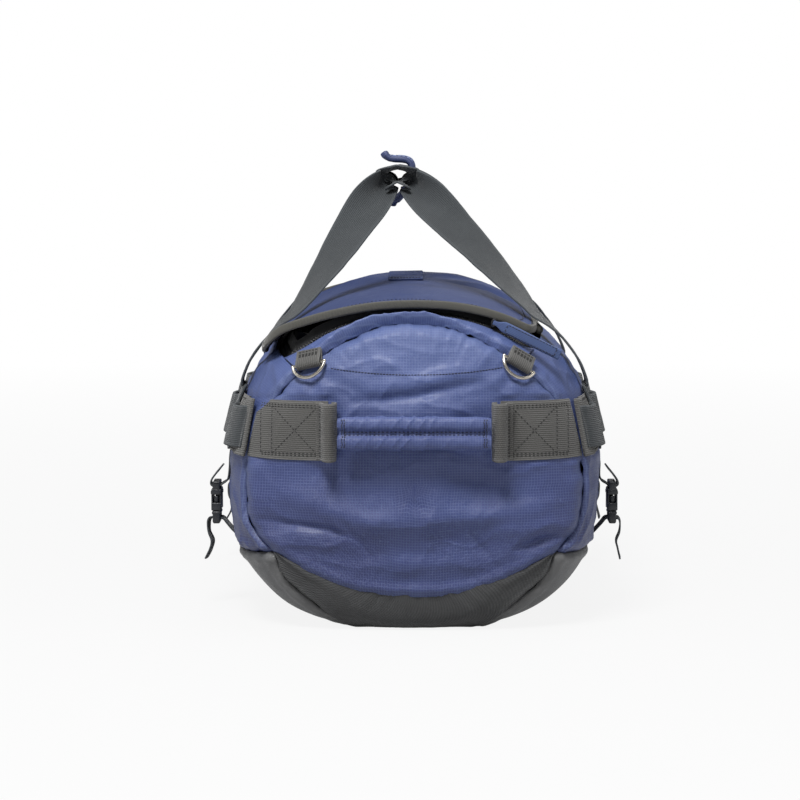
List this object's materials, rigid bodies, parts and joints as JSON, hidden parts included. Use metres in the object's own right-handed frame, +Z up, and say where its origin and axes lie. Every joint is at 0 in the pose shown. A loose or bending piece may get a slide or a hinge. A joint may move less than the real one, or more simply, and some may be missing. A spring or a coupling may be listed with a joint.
{
  "type": "expedition duffel bag",
  "caption": "Soft travel duffel with a zipped D-shaped lid, two carry handles held by a wrap, grab handles, lash loops, rings and side-release compression buckles.",
  "frame": {"origin": "middle of the base, on the surface that the bag stands on", "axes": "+Z up, +Y along the length of the bag, +X across it towards the side that the lid is hinged on"},
  "size_m": [0.3714, 0.6828, 0.3971],
  "materials": {
    "blue_ripstop": "coated ripstop with a low sheen",
    "lid_fabric": "smooth coated cloth with a soft sheen",
    "blue_webbing": "woven webbing and padded cloth, matte",
    "base_weave": "coarse woven cloth, matte",
    "base_satin": "smooth coated cloth, satin",
    "base_foam": "lined foam board, matte",
    "grey_webbing": "ribbed webbing, matte",
    "binding": "ribbed edge binding, matte",
    "zip_tape": "woven tape with moulded teeth",
    "zip_metal": "black painted, semi-gloss",
    "mesh": "open mesh, matte",
    "ring_metal": "nickel plated, polished",
    "strap": "narrow woven strap, matte",
    "buckle": "dark moulded plastic, glossy"
  },
  "bodies": {
    "bag": {"near_end_panel": "blue_ripstop", "far_end_panel": "blue_ripstop", "near_base_cap": "base_weave", "far_base_cap": "base_weave", "base_panel": "base_satin", "left_side_panel": "blue_ripstop", "right_side_panel": "blue_ripstop", "near_zip_gusset": "blue_ripstop", "far_zip_gusset": "blue_ripstop", "base_pad": "base_foam", "hinge_fold": "binding", "body_zip_half": "zip_tape", "left_side_webbing": "grey_webbing", "right_side_webbing": "grey_webbing", "near_end_webbing": "grey_webbing", "far_end_webbing": "grey_webbing", "left_lash_loops": "grey_webbing", "right_lash_loops": "grey_webbing", "left_handle_roots": "grey_webbing", "right_handle_roots": "grey_webbing", "near_grab_sleeve": "blue_webbing", "far_grab_sleeve": "blue_webbing", "near_grab_loops": "grey_webbing", "far_grab_loops": "grey_webbing", "ring_tabs": "grey_webbing", "left_upper_straps": "strap", "right_upper_straps": "strap", "near_left_socket": "buckle", "near_right_socket": "buckle", "far_left_socket": "buckle", "far_right_socket": "buckle", "near_left_strap": "strap", "near_right_strap": "strap", "far_left_strap": "strap", "far_right_strap": "strap"},
    "lid": {"lid_panel": "lid_fabric", "lid_binding": "binding", "lid_zip_half": "zip_tape", "lid_mesh_pocket": "mesh", "lid_lash_patch": "blue_ripstop"},
    "slider": {"zip_slider": "zip_metal"},
    "pull": {"zip_pull": "blue_webbing"},
    "left_carry": {"left_handle": "grey_webbing", "left_handle_legs": "grey_webbing"},
    "right_carry": {"right_handle": "grey_webbing", "right_handle_legs": "grey_webbing", "grip_wrap": "blue_webbing"},
    "near_left_d": {"near_left_ring": "ring_metal"},
    "near_right_d": {"near_right_ring": "ring_metal"},
    "far_left_d": {"far_left_ring": "ring_metal"},
    "far_right_d": {"far_right_ring": "ring_metal"},
    "near_left_clip": {"near_left_plug": "buckle"},
    "near_right_clip": {"near_right_plug": "buckle"},
    "far_left_clip": {"far_left_plug": "buckle"},
    "far_right_clip": {"far_right_plug": "buckle"}
  },
  "joints": [
    {"name": "lid_hinge", "type": "hinge", "parent": "bag", "child": "lid", "pos_m": [0.108, 0, 0.24854], "axis": [0, 1, 0], "range_deg": [0, 148]},
    {"name": "left_handle_swing", "type": "hinge", "parent": "bag", "child": "left_carry", "pos_m": [-0.14928, 0, 0.198], "axis": [0, -1, 0], "range_deg": [0, 171], "deforming": ["left_handle_legs"]},
    {"name": "right_handle_swing", "type": "hinge", "parent": "bag", "child": "right_carry", "pos_m": [0.14928, 0, 0.198], "axis": [0, 1, 0], "range_deg": [0, 171], "deforming": ["right_handle_legs"]},
    {"name": "slider_travel", "type": "hinge", "parent": "bag", "child": "slider", "pos_m": [0, -0.2726, 0.09182], "axis": [0, 1, 0], "range_deg": [-45, 0]},
    {"name": "pull_swing", "type": "hinge", "parent": "slider", "child": "pull", "pos_m": [0.06717, -0.2836, 0.2591], "axis": [0, 1, 0], "range_deg": [-100, 0]},
    {"name": "near_left_d_swing", "type": "hinge", "parent": "bag", "child": "near_left_d", "pos_m": [-0.08871, -0.29922, 0.22513], "axis": [-0.9177, 0.3372, -0.2101], "range_deg": [0, 100]},
    {"name": "near_right_d_swing", "type": "hinge", "parent": "bag", "child": "near_right_d", "pos_m": [0.08767, -0.29977, 0.22509], "axis": [-0.8516, -0.1032, 0.5139], "range_deg": [0, 100]},
    {"name": "far_left_d_swing", "type": "hinge", "parent": "bag", "child": "far_left_d", "pos_m": [-0.08871, 0.29922, 0.22513], "axis": [0.9177, 0.3372, 0.2101], "range_deg": [0, 100]},
    {"name": "far_right_d_swing", "type": "hinge", "parent": "bag", "child": "far_right_d", "pos_m": [0.08767, 0.29977, 0.22509], "axis": [0.8516, -0.1032, -0.5139], "range_deg": [0, 100]},
    {"name": "near_left_clip_pull", "type": "slide", "parent": "bag", "child": "near_left_clip", "axis": [0, 0, -1], "range_m": [0, 0.022], "deforming": ["near_left_strap"]},
    {"name": "near_right_clip_pull", "type": "slide", "parent": "bag", "child": "near_right_clip", "axis": [0, 0, -1], "range_m": [0, 0.022], "deforming": ["near_right_strap"]},
    {"name": "far_left_clip_pull", "type": "slide", "parent": "bag", "child": "far_left_clip", "axis": [0, 0, -1], "range_m": [0, 0.022], "deforming": ["far_left_strap"]},
    {"name": "far_right_clip_pull", "type": "slide", "parent": "bag", "child": "far_right_clip", "axis": [0, 0, -1], "range_m": [0, 0.022], "deforming": ["far_right_strap"]}
  ],
  "couplings": [
    {"joint": "left_handle_swing", "follows": "lid_hinge", "ratio": 1.15},
    {"joint": "right_handle_swing", "follows": "lid_hinge", "ratio": 1.15}
  ]
}
